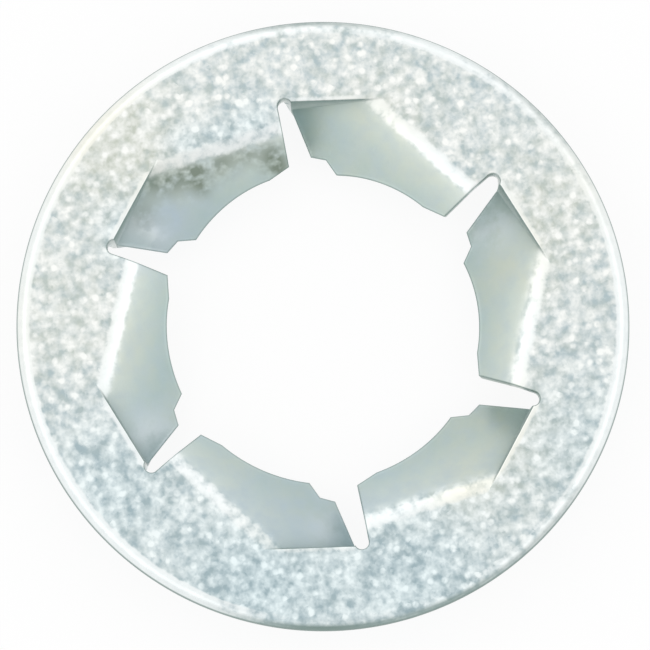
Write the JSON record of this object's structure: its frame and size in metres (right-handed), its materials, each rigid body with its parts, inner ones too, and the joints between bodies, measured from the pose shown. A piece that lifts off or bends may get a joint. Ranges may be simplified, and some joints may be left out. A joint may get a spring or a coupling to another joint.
{
  "type": "push-on nut",
  "caption": "Push-on nut stamped from zinc-finished spring steel: a flat round ring with slotted, twisted inner teeth that bite a stud pushed through it and keep it from backing out.",
  "frame": {"origin": "on the axis of the bore, in the plane that the lowest corners of the teeth rest on", "axes": "+Z along the bore, from the teeth up to the flat face; +X through the middle of a tooth"},
  "size_m": [0.0119, 0.0118, 0.0015],
  "materials": {
    "zinc_steel": "bright zinc with a fine grain"
  },
  "bodies": {
    "root": {"nut": "zinc_steel"}
  },
  "joints": []
}
